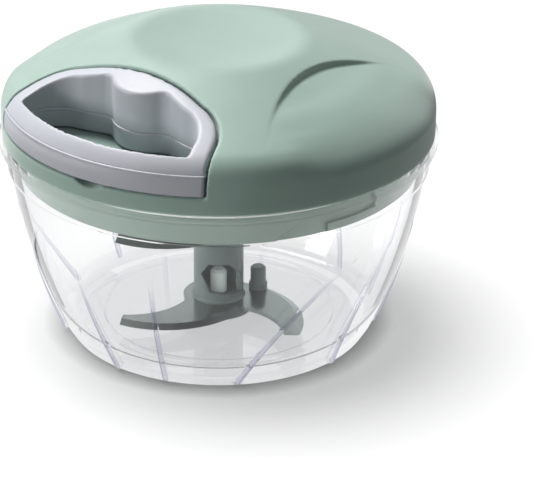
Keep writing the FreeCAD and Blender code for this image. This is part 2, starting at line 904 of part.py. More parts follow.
def make_cover():
    outer = dome("DomeOuter", as_size(0))
    shell = cut("DomeShell", outer, dome("DomeInner", s.lid_wall))
    gap_plan = wider("RecessPlan", handle_plan, s.recess_gap)
    tub_plan = wider("TubPlan", handle_plan, s.recess_gap + s.lid_wall)
    tub_bottom = ledge_height - s.lid_wall
    tub = common("Tub", raised("TubBlock", tub_plan, tub_bottom, above - tub_bottom), outer)
    recess = raised("Recess", gap_plan, ledge_height, above - ledge_height)
    bosses = [cylinder(f"CoverBoss{number}", s.screw_boss, above - skirt_bottom - s.base_flange,
                       spot(screw_circle, angle, skirt_bottom + s.base_flange))
              for number, angle in enumerate(screw_places)]
    arbor = cylinder("Arbor", s.arbor_radius, above - arbor_bottom, (0, 0, arbor_bottom))
    inside = common("InsideBosses", fuse("BossGroup", bosses + [arbor]), outer)

    scoop_x = s.scoop_edge + s.scoop_round
    backing = []
    scoops = []
    for side, sign in (("Right", 1), ("Left", -1)):
        at = (sign * scoop_x, s.scoop_shift, skirt_bottom)
        wide = cylinder(f"{side}ScoopWide", s.scoop_round + s.lid_wall, above - skirt_bottom, at)
        near = cylinder(f"{side}ScoopNear", s.scoop_round, above - skirt_bottom, at)
        under = common(f"{side}ScoopUnder", wide, scoop_band(f"{side}BandUnder", s.lid_wall, above))
        backing.append(common(f"{side}ScoopBack", under, outer))
        scoops.append(common(f"{side}Scoop", near, scoop_band(f"{side}Band", as_size(0), above)))
    notch = cylinder("Notch", s.notch_round, s.notch_reach * 2,
                     (s.notch_shift, -lid_radius - s.notch_reach, ledge_height + s.notch_round
                      - s.notch_depth), -90, (1, 0, 0))
    drills = [cylinder(f"CoverDrill{number}", s.screw_shank, s.screw_length + 1,
                       spot(screw_circle, angle, plug_bottom + s.screw_sink))
              for number, angle in enumerate(screw_places)]
    axle_bore = cylinder("AxleBore", s.axle_radius, axle_top - arbor_bottom, (0, 0, arbor_bottom))
    eyelet_hole = cylinder("EyeletHole", s.eyelet_radius, s.lid_wall * 3,
                           (0, -eyelet_out - s.lid_wall, cord_height), -90, (1, 0, 0))
    body = fuse("CoverBody", [shell, tub, inside] + backing)
    keep("lid_cover", cut("Cover", body,
                          fuse("CoverCuts", [recess, notch, axle_bore, eyelet_hole] + drills + scoops)))


make_cover()



# Handle

def grip_outline():
    """The finger opening, with a bulge in its back wall that hides the cord's end."""
    bump = (s.grip_neck_x * s.grip_neck_x + s.bump_reach * s.bump_reach) / (2 * s.bump_reach)
    front_y = root(grip_front_radius * grip_front_radius - s.grip_front_x * s.grip_front_x)
    return flat_sketch("GripOutline", [
        (s.grip_front_x, -front_y, grip_front_radius, "left"),
        (s.grip_side_x, -grip_side_y),
        (s.grip_corner_x, -grip_corner_y, s.grip_corner_round, "left"),
        (s.grip_back_x, -grip_back_y),
        (s.grip_neck_x, -grip_neck_y, s.grip_neck_round, "left"),
        (-s.grip_neck_x, -grip_neck_y, bump, "right"),
        (-s.grip_back_x, -grip_back_y, s.grip_neck_round, "left"),
        (-s.grip_corner_x, -grip_corner_y),
        (-s.grip_side_x, -grip_side_y, s.grip_corner_round, "left"),
        (-s.grip_front_x, -front_y),
    ])


def make_handle():
    grip_plan = grip_outline()
    hollow_plan = wider("HollowPlan", handle_plan, -s.handle_wall)
    core_plan = wider("GripWallPlan", grip_plan, s.handle_wall)
    outer = dome("HandleDome", as_size(0))
    inner = dome("HandleHollowDome", s.handle_wall)

    def ring(name, bottom, top):
        """The handle between two heights, cut to the dome outside and hollow inside."""
        tall = top - bottom
        solid = common(f"{name}Trim", raised(f"{name}Block", handle_plan, bottom, tall), outer)
        grip = raised(f"{name}Grip", grip_plan, bottom - 1, tall + 2)
        return cut(f"{name}Ring", solid, grip)

    def hollow(name, bottom, top):
        """Space between the handle's walls."""
        tall = top - bottom
        solid = common(f"{name}Space", raised(f"{name}SpaceBlock", hollow_plan, bottom, tall), inner)
        return cut(f"{name}Hollow", solid, raised(f"{name}Core", core_plan, bottom - 1, tall + 2))

    cord_hole = cylinder("HandleCordHole", s.eyelet_bore, s.handle_wall * 4,
                         (0, -handle_back - s.handle_wall * 2, cord_height), -90, (1, 0, 0))
    upper = cut("UpperShell", ring("Upper", handle_parting, above),
                fuse("UpperCuts", [hollow("Upper", handle_parting, above), cord_hole]))
    lower = cut("LowerShell", ring("Lower", handle_bottom, handle_parting),
                hollow("Lower", handle_bottom + s.handle_wall, handle_parting))
    keep("handle_upper_shell", upper)
    keep("handle_lower_shell", lower)


make_handle()


# Lid base, its plug and the lock

lug_span = 360 * (s.lug_half_width + 1) / (2 * math.pi * plug_radius)


def sector(name, outer, inner, bottom, height, start, spread):
    """Part of a ring between two angles counted from +X."""
    full = cylinder(f"{name}Full", outer, height, (0, 0, bottom), start)
    bind(full, "Angle", spread)
    return cut(name, full, cylinder(f"{name}Bore", inner, height, (0, 0, bottom)))


def make_base():
    bore = s.barrel_radius + s.running_gap
    flange_top = skirt_bottom + s.base_flange
    groove_floor = plug_radius - s.groove_depth
    inside = groove_floor - s.plug_wall
    floor_top = plug_bottom + s.base_floor
    body = new_body("BaseShell")
    edge = 0.8
    revolve(body, "BaseTurn", [
        (bore, plug_bottom),
        (plug_radius - edge, plug_bottom),
        (plug_radius, plug_bottom + edge),
        (plug_radius, groove_bottom),
        (groove_floor, groove_bottom),
        (groove_floor, skirt_bottom),
        (base_flange_radius, skirt_bottom),
        (base_flange_radius, flange_top),
        (inside, flange_top),
        (inside, floor_top),
        (bore + s.boss_wall, floor_top),
        (bore + s.boss_wall, boss_top),
        (bore, boss_top),
    ])
    rib = extrude(body, "BaseRib", [
        (bore + s.boss_wall / 2, -s.base_rib_thick / 2),
        (inside + s.plug_wall / 2, -s.base_rib_thick / 2),
        (inside + s.plug_wall / 2, s.base_rib_thick / 2),
        (bore + s.boss_wall / 2, s.base_rib_thick / 2),
    ], floor_top, s.base_rib_height)
    polar(body, rib, s.base_ribs)
    bosses = [cylinder(f"BaseBoss{number}", s.screw_boss, flange_top - plug_bottom,
                       spot(screw_circle, angle, plug_bottom))
              for number, angle in enumerate(screw_places)]
    solid = fuse("BaseBody", [body] + bosses)
    drills = []
    for number, angle in enumerate(screw_places):
        drills.append(cylinder(f"BaseDrill{number}", s.screw_shank + s.running_gap,
                               flange_top - plug_bottom, spot(screw_circle, angle, plug_bottom)))
        drills.append(cylinder(f"BaseSink{number}", s.screw_head + 2 * s.running_gap, s.screw_sink,
                               spot(screw_circle, angle, plug_bottom)))
    quarter = 90
    deep = plug_radius - s.channel_depth
    wide = plug_radius + 1
    track_top = lug_height + s.channel_height / 2
    track_start = s.lug_angle - s.lock_turn + s.channel_lap
    gate = sector("Gate", wide, deep, plug_bottom - 1, track_top + 1 - plug_bottom,
                  s.lug_angle - s.lock_turn - s.mouth_angle / 2 - quarter, s.mouth_angle)
    lean = s.mouth_lean
    under = 4 * s.channel_height
    span = 2 * under
    ramp = block("MouthRamp", s.channel_depth + 2, span, under)
    place(ramp, (deep - 1,
                 under * sine(lean) - span / 2 * cosine(lean),
                 track_top - span / 2 * sine(lean) - under * cosine(lean)), lean, (1, 0, 0))
    mouth = common("Mouth", gate, turned("MouthRampCopy", ramp, 1, track_start - quarter)[0])
    track = sector("Track", wide, deep, lug_height - s.channel_height / 2, s.channel_height,
                   track_start - quarter, s.lock_turn - s.channel_lap + lug_span)
    channels = turned("ChannelCopy", fuse("Channel", [mouth, track]), s.lugs)
    keep("lid_base", cut("Base", solid, fuse("BaseCuts", drills + channels)))


make_base()


def make_seal():
    """Silicone ring in the plug's groove, with a lip that wipes the bowl."""
    groove_floor = plug_radius - s.groove_depth
    body = new_body("SealRing")
    middle = groove_bottom + 0.1 + s.seal_height / 2
    reach = mouth_radius - s.seal_gap
    revolve(body, "SealTurn", [
        (groove_floor + s.seal_gap, middle - s.seal_height / 2),
        (plug_radius, middle - s.seal_height / 2),
        (plug_radius, middle - s.lip_height / 2),
        (reach, middle),
        (reach, middle + s.lip_height / 2),
        (plug_radius, middle + s.lip_height),
        (plug_radius, middle + s.seal_height / 2),
        (groove_floor + s.seal_gap, middle + s.seal_height / 2),
    ])
    keep("seal_ring", body)


make_seal()


def make_screws():
    """Four pan-head screws driven up through the base into the cover's bosses."""
    body = new_body("LidScrew")
    top = plug_bottom + s.screw_sink
    slot = s.screw_head_height / 2
    revolve(body, "ScrewTurn", [
        (0, top - s.screw_head_height),
        (s.screw_head - 0.6, top - s.screw_head_height),
        (s.screw_head, top - s.screw_head_height + 0.6),
        (s.screw_head, top),
        (s.screw_shank, top),
        (s.screw_shank, top + s.screw_length - s.screw_shank),
        (0, top + s.screw_length),
    ])
    cross = 0.7
    arm = s.screw_head * 0.6
    bar = extrude(body, "ScrewSlot", [
        (-arm, -cross / 2), (arm, -cross / 2), (arm, cross / 2), (-arm, cross / 2),
    ], top - s.screw_head_height + slot, slot, "PartDesign::Pocket")
    polar(body, bar, 4)
    group = doc.addObject("Part::Compound", "LidScrews")
    copies = []
    for number, angle in enumerate(screw_places):
        copy = doc.addObject("Part::Compound", f"LidScrew{number}")
        copy.Links = [body]
        copies.append(place(copy, spot(screw_circle, angle, 0)))
    group.Links = copies
    keep("lid_screws", group)


make_screws()


# Reel, axle and power spring

axle_bore = s.axle_radius + s.running_gap
reel_top = reel_bottom + s.reel_flange * 2 + s.drum_height


def make_axle():
    body = new_body("AxlePin")
    groove = reel_bottom - s.clip_height - s.clip_gap
    edge = 0.4
    revolve(body, "AxleTurn", [
        (0, axle_bottom),
        (s.axle_radius - edge, axle_bottom),
        (s.axle_radius, axle_bottom + edge),
        (s.axle_radius, groove),
        (s.axle_radius - s.clip_groove, groove),
        (s.axle_radius - s.clip_groove, groove + s.clip_height),
        (s.axle_radius, groove + s.clip_height),
        (s.axle_radius, axle_top),
        (0, axle_top),
    ])
    keep("reel_axle", body)
    clip = new_body("AxleClip")
    inner = s.axle_radius - s.clip_groove
    revolve(clip, "ClipTurn", [
        (inner, groove),
        (s.clip_radius, groove),
        (s.clip_radius, groove + s.clip_height),
        (inner, groove + s.clip_height),
    ])
    extrude(clip, "ClipMouth", [
        (0, -inner * 0.8), (s.clip_radius * 1.2, -inner * 0.8),
        (s.clip_radius * 1.2, inner * 0.8), (0, inner * 0.8),
    ], groove, s.clip_height, "PartDesign::Pocket")
    keep("axle_clip", clip)


make_axle()


def make_reel():
    body = new_body("ReelDrum")
    low = reel_bottom
    cup = drum_radius - s.drum_wall
    skirt = s.ratchet_radius + s.ratchet_wall
    seat = reel_top - s.spring_lid_sink - s.spring_lid_thick
    revolve(body, "ReelTurn", [
        (axle_bore, low),
        (s.ratchet_radius, low),
        (s.ratchet_radius, low - s.ratchet_height),
        (skirt, low - s.ratchet_height),
        (skirt, low),
        (reel_flange_radius, low),
        (reel_flange_radius, low + s.reel_flange),
        (drum_radius, low + s.reel_flange),
        (drum_radius, reel_top - s.reel_flange),
        (reel_flange_radius, reel_top - s.reel_flange),
        (reel_flange_radius, reel_top),
        (cup + s.drum_wall / 2, reel_top),
        (cup + s.drum_wall / 2, seat),
        (cup, seat),
        (cup, low + s.drum_web),
        (axle_bore, low + s.drum_web),
    ])
    inner = s.ratchet_radius - s.tooth_depth
    tooth = extrude(body, "ReelTooth", [
        (s.ratchet_radius + s.ratchet_wall / 2, -s.tooth_width / 2),
        (s.ratchet_radius + s.ratchet_wall / 2, s.tooth_width / 2),
        (inner, s.tooth_width / 2),
        (s.ratchet_radius - 0.1, -s.tooth_width / 2),
    ], low - s.ratchet_height, s.ratchet_height)
    polar(body, tooth, s.ratchet_teeth)
    keep("cord_reel", body)
    lid = new_body("SpringLid")
    hole = s.arbor_radius + 0.4
    revolve(lid, "SpringLidTurn", [
        (hole, seat),
        (cup + s.drum_wall / 2 - s.running_gap, seat),
        (cup + s.drum_wall / 2 - s.running_gap, seat + s.spring_lid_thick),
        (hole, seat + s.spring_lid_thick),
    ])
    keep("spring_cover", lid)


make_reel()


def make_power_spring():
    """Spiral strip wound round the arbor, its outer end hooked at the drum's wall."""
    bottom = float(reel_bottom + s.drum_web) + 0.1
    start = float(s.spring_start)
    cup = drum_radius - s.drum_wall
    pitch = float((cup - s.spring_clearance - s.spring_thick - s.spring_start) / s.spring_turns)
    thick = float(s.spring_thick)
    quarters = int(float(s.spring_turns) * 4)

    def rail(offset):
        edges = []
        for number in range(quarters):
            points = []
            for part in (0, 0.5, 1):
                turn = number + part
                radius = start + offset + pitch * turn / 4
                angle = math.pi / 2 * turn
                points.append(FreeCAD.Vector(radius * math.cos(angle), radius * math.sin(angle), bottom))
            edges.append(Part.Arc(*points).toShape())
        return edges

    inner = rail(0)
    outer = rail(thick)
    ends = [Part.makeLine(inner[0].Vertexes[0].Point, outer[0].Vertexes[0].Point),
            Part.makeLine(inner[-1].Vertexes[-1].Point, outer[-1].Vertexes[-1].Point)]
    face = Part.Face(Part.Wire(Part.__sortEdges__(inner + outer + ends)))
    spring = doc.addObject("Part::Feature", "PowerSpring")
    spring.Shape = face.extrude(FreeCAD.Vector(0, 0, float(s.spring_height)))
    keep("power_spring", spring)


make_power_spring()


# One-way clutch and drive spindle

clutch_top = clutch_bottom + s.clutch_thick


def make_spindle():
    body = new_body("SpindleCore")
    revolve(body, "SpindleTurn", [
        (0, dog_bottom),
        (s.dog_core, dog_bottom),
        (s.dog_core, dog_top),
        (s.barrel_radius, dog_top),
        (s.barrel_radius, clutch_bottom),
        (clutch_radius, clutch_bottom),
        (clutch_radius, clutch_top),
        (s.clutch_neck, clutch_top),
        (s.clutch_neck, clutch_neck_top),
        (axle_bore, clutch_neck_top),
        (axle_bore, axle_bottom - 0.5),
        (0, axle_bottom - 0.5),
    ])
    fin = extrude(body, "DogFin", [
        (-s.dog_fin_thick / 2, s.dog_core - 0.4),
        (s.dog_fin_thick / 2, s.dog_core - 0.4),
        (s.dog_fin_thick / 2, s.dog_fin_reach),
        (-s.dog_fin_thick / 2, s.dog_fin_reach),
    ], dog_bottom, dog_top - dog_bottom)
    polar(body, fin, 2)
    pivot = cylinder("Pivot", s.pivot_radius, s.pivot_height, (s.pivot_circle, 0, clutch_top))
    keep("drive_spindle", fuse("Spindle", [body] + turned("PivotCopy", pivot, 2, s.pawl_turn), tidy=False))


def make_pawl(node, turn):
    """Lever on the clutch disc whose tip stands behind a tooth of the reel."""
    eye = s.pawl_eye
    hole = s.pivot_radius + s.running_gap
    body = new_body(node + "Lever")
    extrude(body, node + "Arm", [
        (eye, 0),
        (0, eye, eye, "left"),
        (-eye, 0, eye, "left"),
        (s.pawl_tip_x - s.pawl_tip * 2, -s.pawl_length + s.pawl_tip),
        (s.pawl_tip_x - s.pawl_tip, -s.pawl_length),
        (s.pawl_tip_x, -s.pawl_length),
    ], clutch_top + s.pawl_float, s.pawl_thick)
    extrude(body, node + "Eye", [
        (hole, 0, hole, "left"),
        (0, hole, hole, "left"),
        (-hole, 0, hole, "left"),
        (0, -hole, hole, "left"),
    ], clutch_top + s.pawl_float, s.pawl_thick, "PartDesign::Pocket")
    place(body, (s.pivot_circle * cosine(turn), s.pivot_circle * sine(turn), 0), turn)
    keep(node, body)


make_spindle()
make_pawl("drive_pawl_a", s.pawl_turn)
make_pawl("drive_pawl_b", s.pawl_turn + 180)


# Pull cord

cord_r = s.cord_thick / 2
winding_r = drum_radius + cord_r + 0.1


def arc_between(start, control, end):
    """The arc that leaves start towards control and arrives at end from it."""
    middle = (start + end) * 0.5
    away = control - middle
    half_chord = (end - start).Length / 2
    rise = half_chord * math.tan(math.atan2(away.Length, half_chord) / 2)
    return Part.Arc(start, middle + away.normalize() * rise, end).toShape()


def two_arcs(start, leaving, end, arriving):
    """Two arcs that run on smoothly from start to end in the directions given."""
    span = end - start
    across = span.dot(leaving + arriving)
    bend = 2 * (1 - leaving.dot(arriving))
    reach = (math.sqrt(across * across + bend * span.dot(span)) - across) / bend
    first = start + leaving * reach
    second = end - arriving * reach
    joint = (first + second) * 0.5
    return [arc_between(start, first, joint), arc_between(joint, second, end)]


def tube(edges, radius):
    """A round cord along edges that run on into each other."""
    path = Part.Wire(edges)
    start = edges[0].valueAt(edges[0].FirstParameter)
    along = edges[0].tangentAt(edges[0].FirstParameter)
    ring = Part.Wire([Part.makeCircle(radius, start, along)])
    return path.makePipeShell([ring], True, False)


def make_cord():
    radius = float(winding_r)
    level = float(cord_height)
    bend_y = float(cord_bend_y)
    gate = math.acos(radius / bend_y)
    leave = FreeCAD.Vector(-radius * math.sin(gate), -radius * math.cos(gate), level)
    first = math.atan2(leave.y, leave.x)
    quarters = round(float(s.cord_turns) * 4)
    pitch = float(s.cord_pitch)
    climb = pitch / (2 * math.pi)

    def on_drum(back):
        """Point and direction of the cord a number of turns before it leaves."""
        angle = first - 2 * math.pi * back
        point = FreeCAD.Vector(radius * math.cos(angle), radius * math.sin(angle), level - pitch * back)
        along = FreeCAD.Vector(-radius * math.sin(angle), radius * math.cos(angle), climb)
        return point, along.normalize()

    arcs = []
    for number in reversed(range(quarters)):
        arcs += two_arcs(*on_drum((number + 1) / 4), *on_drum(number / 4))
    winding = doc.addObject("Part::Feature", "CordWinding")
    winding.Shape = tube(arcs, float(cord_r))
    keep("cord_winding", winding)

    corner = FreeCAD.Vector(0, -bend_y, level)
    run = (corner - leave).normalize()
    out = FreeCAD.Vector(0, -1, 0)
    bend = float(s.cord_bend_round)
    half = run.getAngle(out) / 2
    reach = bend * math.tan(half)
    start = corner - run * reach
    end = corner + out * reach
    middle = corner + (out - run).normalize() * (bend / math.cos(half) - bend)
    face_y = -float(eyelet_out)
    gate_point = FreeCAD.Vector(0, face_y, level)
    lead = doc.addObject("Part::Feature", "CordLead")
    lead.Shape = tube([Part.makeLine(leave, start), Part.Arc(start, middle, end).toShape(),
                       Part.makeLine(end, gate_point)], float(cord_r))
    keep("cord_lead", lead)
    stop_y = -handle_back - s.handle_wall - 0.2
    keep("cord_stretch", cylinder("CordStretch", cord_r, -stop_y - eyelet_out,
                                  (0, stop_y, cord_height), -90, (1, 0, 0)))
    keep("cord_stop", cylinder("CordStop", s.cord_stop_radius, s.cord_stop_length,
                               (0, stop_y - s.cord_stop_length, cord_height), -90, (1, 0, 0)))
    length = sum(edge.Length for edge in arcs) + lead.Shape.Volume / (math.pi * float(cord_r) ** 2)
    print(f"cord in the lid: {length:.0f} mm, bend radius {bend:.1f} mm, gap between turns "
          f"{pitch - float(s.cord_thick):.2f} mm")


make_cord()


def make_eyelet():
    """Flanged ring that the cord runs through in the recess wall."""
    body = new_body("EyeletRing")
    inner_face = -eyelet_out + s.lid_wall
    sketch = sketch_in(body, "EyeletOutline", [
        (s.eyelet_bore, -eyelet_out),
        (s.eyelet_radius, -eyelet_out),
        (s.eyelet_radius, inner_face),
        (s.eyelet_flange, inner_face),
        (s.eyelet_flange, inner_face + s.eyelet_flange_thick),
        (s.eyelet_bore, inner_face + s.eyelet_flange_thick),
    ], "XY_Plane")
    turn = body.newObject("PartDesign::Revolution", "EyeletTurn")
    turn.Profile = sketch
    turn.ReferenceAxis = (sketch, ["V_Axis"])
    turn.Angle = 360
    keep("cord_eyelet", place(body, (0, 0, cord_height)))


make_eyelet()


def finish():
    doc.recompute()
    for item in doc.Objects:
        if "Invalid" in item.State or "Error" in item.State:
            raise RuntimeError(f"{item.Name} failed: {item.State}")
    os.makedirs("parts", exist_ok=True)
    for node, item in parts.items():
        shape = item.Shape
        if shape.isNull() or not shape.isValid():
            raise RuntimeError(f"{node} has no valid shape")
        shape.exportStep(f"parts/{node}.step")
        print(f"{node}: {len(shape.Solids)} solid, {shape.Volume:.0f} mm3")


finish()
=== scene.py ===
import math

import bmesh
import bpy
from mathutils import Matrix, Vector


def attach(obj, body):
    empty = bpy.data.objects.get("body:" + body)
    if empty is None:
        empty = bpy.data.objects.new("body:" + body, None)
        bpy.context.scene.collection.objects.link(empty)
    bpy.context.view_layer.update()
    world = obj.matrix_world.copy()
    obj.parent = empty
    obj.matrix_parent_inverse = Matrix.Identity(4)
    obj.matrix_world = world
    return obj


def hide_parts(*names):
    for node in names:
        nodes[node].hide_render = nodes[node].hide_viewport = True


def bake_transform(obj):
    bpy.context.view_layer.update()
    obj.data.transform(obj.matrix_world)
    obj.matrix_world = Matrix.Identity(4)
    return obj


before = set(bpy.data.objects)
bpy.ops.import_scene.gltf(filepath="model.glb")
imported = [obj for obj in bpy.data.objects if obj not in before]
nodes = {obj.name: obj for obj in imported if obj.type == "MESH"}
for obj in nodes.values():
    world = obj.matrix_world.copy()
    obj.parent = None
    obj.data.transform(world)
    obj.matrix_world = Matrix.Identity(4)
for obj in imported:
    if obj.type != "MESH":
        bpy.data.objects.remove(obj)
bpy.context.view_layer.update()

scene = bpy.context.scene

MM = 0.001
WHITE = (1, 1, 1, 1)


# Objects and shader nodes

def new_object(name, data):
    """An object of the scene."""
    thing = bpy.data.objects.new(name, data)
    scene.collection.objects.link(thing)
    return thing


def new_material(name):
    """A material, its node tree and its shader."""
    material = bpy.data.materials.new(name)
    material.use_nodes = True
    return material, material.node_tree, material.node_tree.nodes["Principled BSDF"]


def feed(tree, node, inputs):
    """Give each of the node's inputs, by name or number, a socket or a plain value."""
    for key, value in inputs.items():
        if isinstance(value, bpy.types.NodeSocket):
            tree.links.new(value, node.inputs[key])
        else:
            node.inputs[key].default_value = value


def shader_node(tree, kind, inputs, **settings):
    """A new shader node with its settings and inputs."""
    node = tree.nodes.new("ShaderNode" + kind)
    for key, value in settings.items():
        setattr(node, key, value)
    feed(tree, node, inputs)
    return node


def shader_of(tree, kind, inputs):
    """The output of a new shader node of a kind."""
    return shader_node(tree, kind, inputs).outputs[0]


def math_node(tree, kind, *values):
    """A Math node on sockets or plain numbers."""
    return shader_node(tree, "Math", dict(enumerate(values)), operation=kind).outputs[0]


def any_of(tree, *kinds):
    """1 for a ray of any of the kinds that Light Path names, and 0 for the others."""
    path = shader_node(tree, "LightPath", {})
    found = path.outputs[kinds[0]]
    for kind in kinds[1:]:
        found = math_node(tree, "MAXIMUM", found, path.outputs[kind])
    return found


def ranged(tree, source, start, end, low=0.0, high=1.0):
    """A number that runs from low to high as source runs from start to end."""
    inputs = {"Value": source, "From Min": start, "From Max": end, "To Min": low, "To Max": high}
    return shader_node(tree, "MapRange", inputs).outputs["Result"]


def stops(tree, source, *colours):
    """A colour that runs through several stops. Each stop is a place from 0 to 1 and its colour."""
    band = shader_node(tree, "ValToRGB", {"Fac": source})
    ends = band.color_ramp.elements
    for number, (place, colour) in enumerate(colours):
        stop = ends[0] if number == 0 else ends[-1] if number == len(colours) - 1 else ends.new(place)
        stop.position = place
        stop.color = (*colour, 1)
    return band.outputs["Color"]


def mixed(tree, share, first, second):
    """A mix of two shaders, the second by share."""
    return shader_node(tree, "MixShader", {0: share, 1: first, 2: second}).outputs[0]


def added(tree, first, second):
    """The sum of two shaders."""
    return shader_node(tree, "AddShader", {0: first, 1: second}).outputs[0]


def mixed_colour(tree, share, first, second, blend="MIX"):
    """A mix of two colours, the second by share. A Mix node has its colours at 6, 7 and output 2."""
    inputs = {0: share, 6: first, 7: second}
    return shader_node(tree, "Mix", inputs, data_type="RGBA", blend_type=blend).outputs[2]


# Camera, floor, world and lamps

CAMERA_TURN = 40
CAMERA_TILT = 25.6
CAMERA_AWAY = 0.7
CAMERA_LEVEL = 0.36007
FLOOR_REACH = 6.0
FLOOR_COLOUR = (0.35, 0.35, 0.35, 1)
FLOOR_LIFT = 0.46
FLOOR_BOUNCE = (0.15, 0.15, 0.15, 1)
SHADOW_WASH = 0.5
# How far the floor's painted contact shade reaches
CONTACT_SHADE_REACH = 7 * MM
WORLD_FILL = 0.14


def set_camera():
    """The photo's view: from the front right, and from above."""
    lens = bpy.data.cameras.new("Camera")
    lens.sensor_width = 36
    lens.lens = 165.42
    lens.shift_x = 0.1025
    lens.clip_start = 0.05
    camera = new_object("Camera", lens)
    turn = math.radians(CAMERA_TURN)
    camera.location = (CAMERA_AWAY * math.sin(turn), -CAMERA_AWAY * math.cos(turn), CAMERA_LEVEL)
    camera.rotation_euler = (math.radians(90 - CAMERA_TILT), 0, turn)
    scene.camera = camera


def set_floor():
    """A pale floor: white to the camera with the object's shadow and a painted contact shade where
    the object is near it, fainter shadow through the clear bowl, plain white in reflections, and
    greyer for the light it bounces."""
    mesh = bpy.data.meshes.new("Floor")
    corners = [(across, along, 0) for across, along in ((-1, -1), (1, -1), (1, 1), (-1, 1))]
    mesh.from_pydata([Vector(corner) * FLOOR_REACH for corner in corners], [], [(0, 1, 2, 3)])
    floor = new_object("Floor", mesh)
    material, tree, shader = new_material("Floor")
    tree.nodes.remove(shader)
    # Near the object, occlusion dims the white lift that the camera sees: a painted contact shade
    painted_contact_shade = shader_node(tree, "AmbientOcclusion", {"Distance": CONTACT_SHADE_REACH}, samples=12)
    pale = shader_of(tree, "BsdfDiffuse", {"Color": FLOOR_COLOUR})
    lift = shader_of(tree, "Emission", {"Color": WHITE, "Strength": FLOOR_LIFT})
    near = shader_of(tree, "Emission", {"Color": painted_contact_shade.outputs["Color"], "Strength": FLOOR_LIFT})
    glance = shader_of(tree, "Emission", {"Color": WHITE, "Strength": 1.0})
    bounce = shader_of(tree, "BsdfDiffuse", {"Color": FLOOR_BOUNCE})
    through = mixed(tree, SHADOW_WASH, added(tree, pale, lift), glance)
    look = mixed(tree, any_of(tree, "Is Glossy Ray"), bounce, glance)
    look = mixed(tree, any_of(tree, "Is Transmission Ray"), look, through)
    look = mixed(tree, any_of(tree, "Is Camera Ray"), look, added(tree, pale, near))
    feed(tree, tree.nodes["Material Output"], {"Surface": look})
    mesh.materials.append(material)
    return floor


def set_world():
    """A dim fill for the object, and white behind it, in its reflections and through its bowl."""
    world = bpy.data.worlds.new("World")
    scene.world = world
    world.use_nodes = True
    tree = world.node_tree
    fill = tree.nodes["Background"]
    feed(tree, fill, {"Color": (0.97, 0.98, 1, 1), "Strength": WORLD_FILL})
    seen = shader_of(tree, "Background", {"Color": WHITE, "Strength": 1.0})
    rays = any_of(tree, "Is Camera Ray", "Is Glossy Ray", "Is Transmission Ray")
    feed(tree, tree.nodes["World Output"], {"Surface": mixed(tree, rays, fill.outputs[0], seen)})


def sun(name, floor, azimuth, elevation, spread, strength, lights_floor=False):
    """A broad soft lamp, either for the floor alone or for all but the floor. Azimuth counts
    from the camera's own side, positive to its right."""
    light = bpy.data.lights.new(name, "SUN")
    light.energy = strength
    light.angle = math.radians(spread)
    holder = new_object(name, light)
    turn = math.radians(CAMERA_TURN + azimuth)
    rise = math.radians(elevation)
    source = Vector((math.cos(rise) * math.sin(turn), -math.cos(rise) * math.cos(turn), math.sin(rise)))
    holder.rotation_euler = source.to_track_quat("Z", "Y").to_euler()
    held = bpy.data.collections.new(name + "Lights")
    held.objects.link(floor)
    holder.light_linking.receiver_collection = held
    if not lights_floor:
        held.collection_objects[0].light_linking.link_state = "EXCLUDE"


set_camera()
floor = set_floor()
set_world()
sun("Key", floor, azimuth=-144, elevation=57, spread=22, strength=3.95)
sun("Side", floor, azimuth=-74, elevation=5, spread=24, strength=1.95)
sun("Ground", floor, azimuth=-120, elevation=75, spread=40, strength=5.2, lights_floor=True)
scene.view_settings.view_transform = "Standard"


# Materials

MOTTLE = 0.03
GRAIN_SCALE = 2500
BRUSH_SCALE = 1400
BRUSH_DEPTH = 0.0006 * MM
SCATTER_REACH = 2 * MM


def noise(tree, scale, detail, rough=0.5, across=None):
    """Noise that stays with the piece, drawn out in the directions where across is small."""
    place = shader_node(tree, "TexCoord", {}).outputs["Object"]
    if across is not None:
        place = shader_node(tree, "Mapping", {"Vector": place, "Scale": across}).outputs["Vector"]
    inputs = {"Vector": place, "Scale": scale, "Detail": detail, "Roughness": rough}
    return shader_node(tree, "TexNoise", inputs).outputs["Fac"]


def speckled(tree, source, low, high):
    """A colour that runs from low to high over the middle of a noise."""
    return stops(tree, source, (0.35, low), (0.65, high))


def uneven(tree, source, low, high):
    """A number that runs from low to high over most of a noise."""
    return ranged(tree, source, 0.3, 0.7, low, high)


def bump(tree, source, depth, under=None):
    """A fine relief, depth metres high, on plain normals or on those given."""
    inputs = {"Distance": depth, "Strength": 1.0, "Height": source}
    if under is not None:
        inputs["Normal"] = under
    return shader_node(tree, "Bump", inputs).outputs["Normal"]


def soft_edge(tree, radius):
    """The normals of an edge rounded to the radius."""
    return shader_node(tree, "Bevel", {"Radius": radius}, samples=6).outputs["Normal"]


def shade(colour, by):
    """The colour, darker or lighter."""
    return tuple(min(1.0, value * by) for value in colour)


def plastic(name, colour, rough, grain=0.0, shine=0.5, edge=0.0, scatter=0.0, sheen=0.0):
    """Moulded plastic: a faint mottle, a fine moulded grain and edges that catch the light."""
    material, tree, shader = new_material(name)
    cloud = noise(tree, 60, 3)
    fine = noise(tree, GRAIN_SCALE, 3, 0.6)
    mottled = speckled(tree, cloud, shade(colour, 1 - MOTTLE), shade(colour, 1 + MOTTLE))
    feed(tree, shader, {"Base Color": mottled,
                        "Roughness": uneven(tree, fine, rough - 0.04, rough + 0.05),
                        "Specular IOR Level": shine, "Sheen Weight": sheen})
    if scatter:
        feed(tree, shader, {"Subsurface Weight": scatter, "Subsurface Radius": (1.0, 1.0, 1.0),
                            "Subsurface Scale": SCATTER_REACH})
    normals = soft_edge(tree, edge) if edge else None
    if grain:
        normals = bump(tree, fine, grain, normals)
    if normals is not None:
        feed(tree, shader, {"Normal": normals})
    return material


